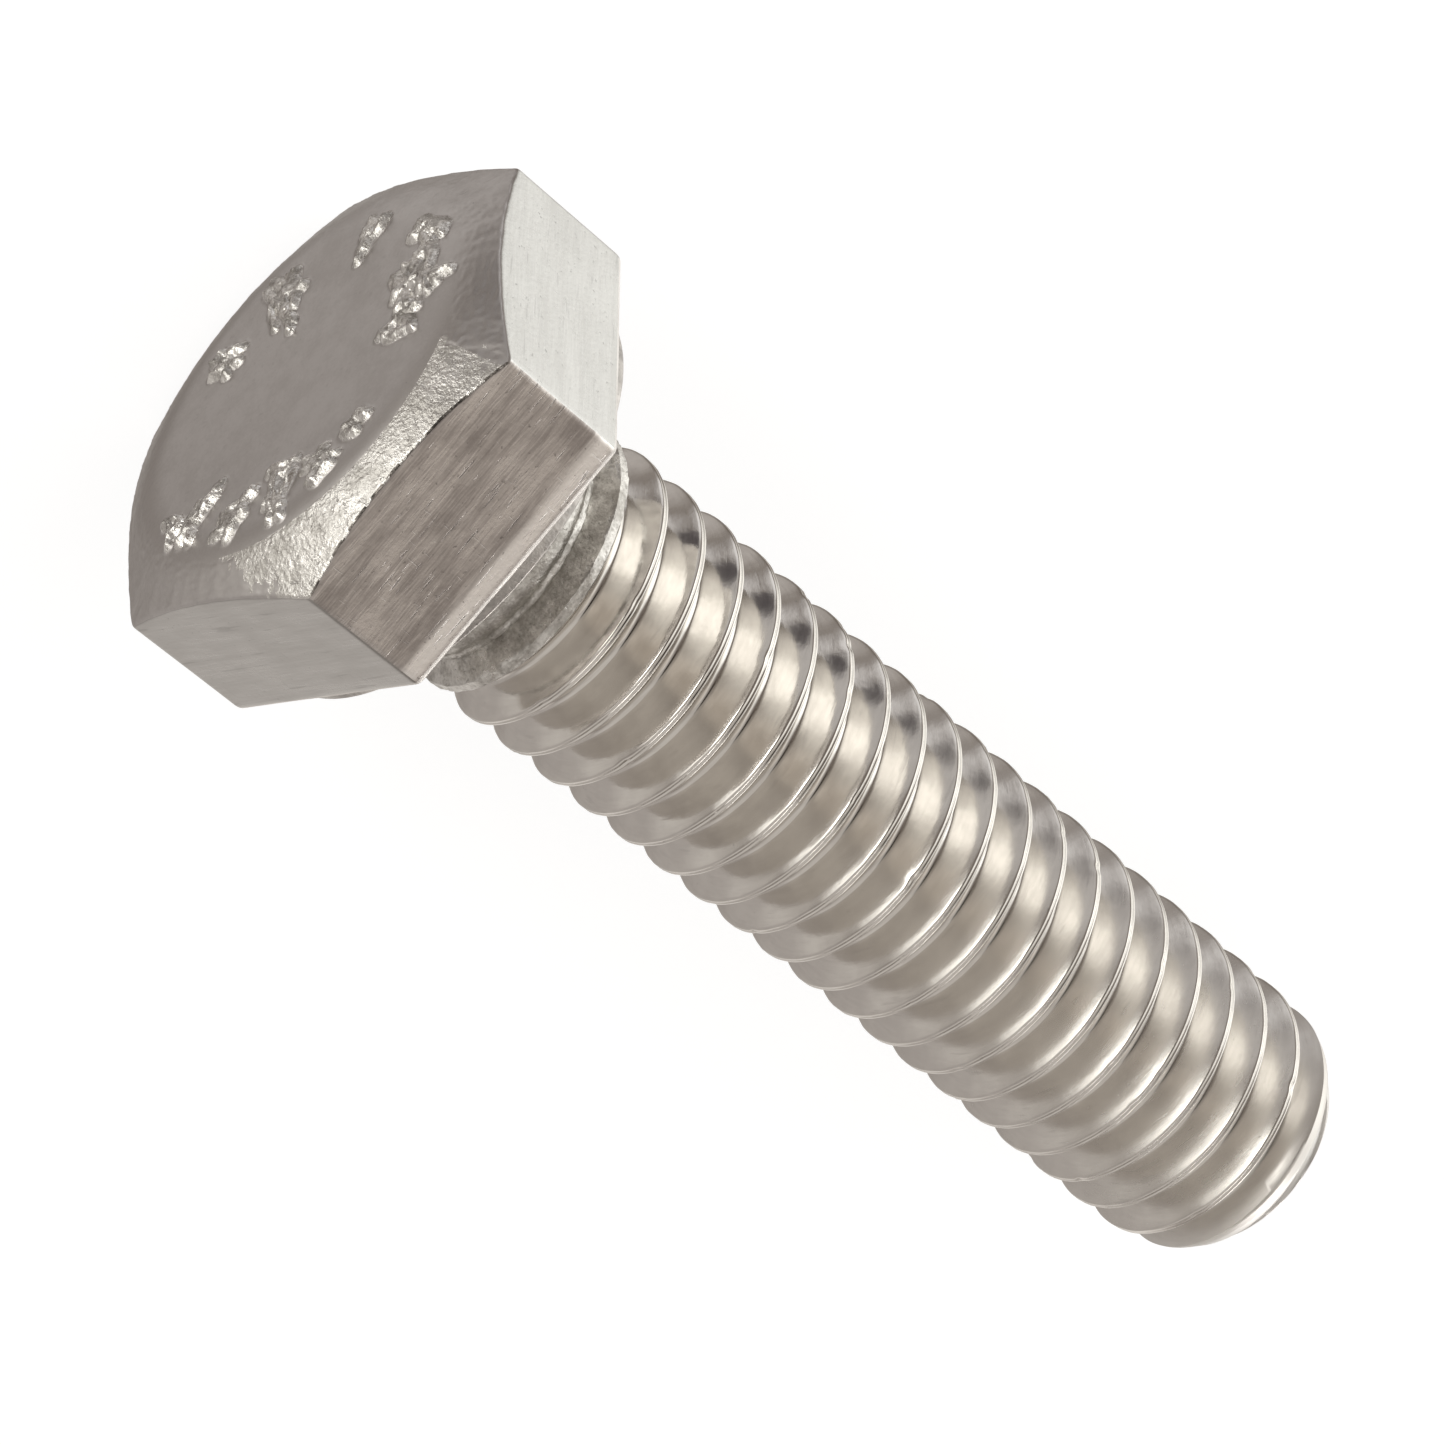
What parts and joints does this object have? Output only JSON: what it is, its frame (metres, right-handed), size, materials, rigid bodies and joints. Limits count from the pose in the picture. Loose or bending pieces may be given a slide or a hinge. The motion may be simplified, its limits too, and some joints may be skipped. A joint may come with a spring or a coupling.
{
  "type": "hex cap screw",
  "caption": "Fully threaded hex bolt: chamfered hexagon head with washer face, plain filleted neck, right-hand rolled thread and a chamfered point.",
  "frame": {"origin": "middle of the overall length, on the screw's axis", "axes": "+X along the axis from the head to the point, +Z out of one wrench flat, +Y towards one of the head's corners"},
  "size_m": [0.037, 0.0146, 0.0126],
  "materials": {
    "head_steel": "forged and tumbled stainless steel, satin top, brushed flats, rough chamfer",
    "thread_steel": "rolled stainless thread, semi-bright flanks with fine lines round the axis"
  },
  "bodies": {
    "root": {"hex_head": "head_steel", "threaded_shank": "thread_steel"}
  },
  "joints": []
}
